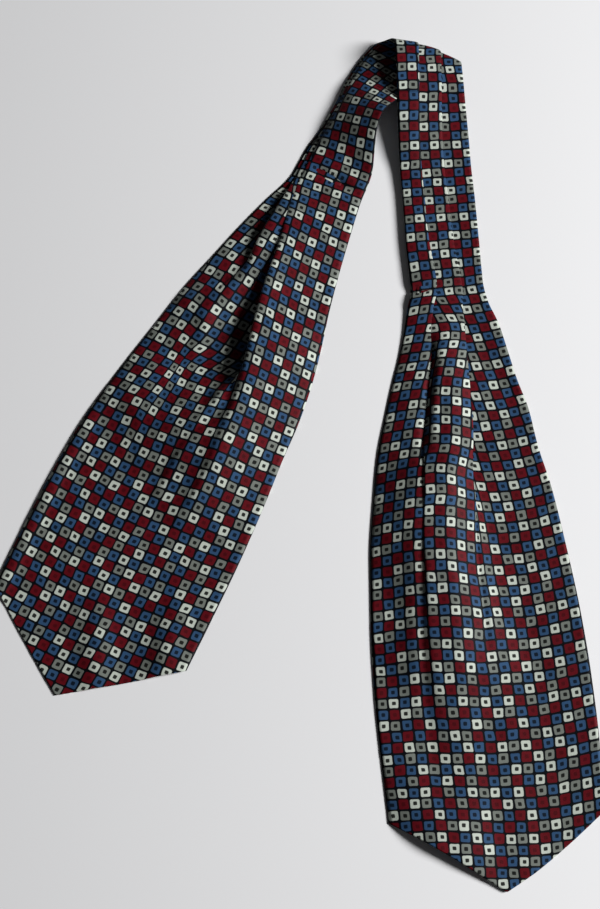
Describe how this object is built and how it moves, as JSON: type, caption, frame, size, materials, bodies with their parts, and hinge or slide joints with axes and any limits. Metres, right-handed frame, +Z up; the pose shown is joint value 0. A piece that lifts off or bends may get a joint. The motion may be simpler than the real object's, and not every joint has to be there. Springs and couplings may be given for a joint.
{
  "type": "silk cravat",
  "caption": "Self-lined silk cravat with pointed blades and a narrow pleated neckband, laid flat and turned over at the neck",
  "frame": {"origin": "centre of the laid cravat's outline, on the table", "axes": "+Y towards the turned neckband, +X towards the right blade, +Z up off the table"},
  "size_m": [0.4077, 0.6361, 0.0226],
  "materials": {
    "silk": "printed silk twill with a small check of rounded squares, soft sheen"
  },
  "bodies": {
    "root": {"right_blade": "silk", "right_neckband": "silk", "neckband_turn": "silk", "left_neckband": "silk", "left_blade": "silk"}
  },
  "joints": []
}
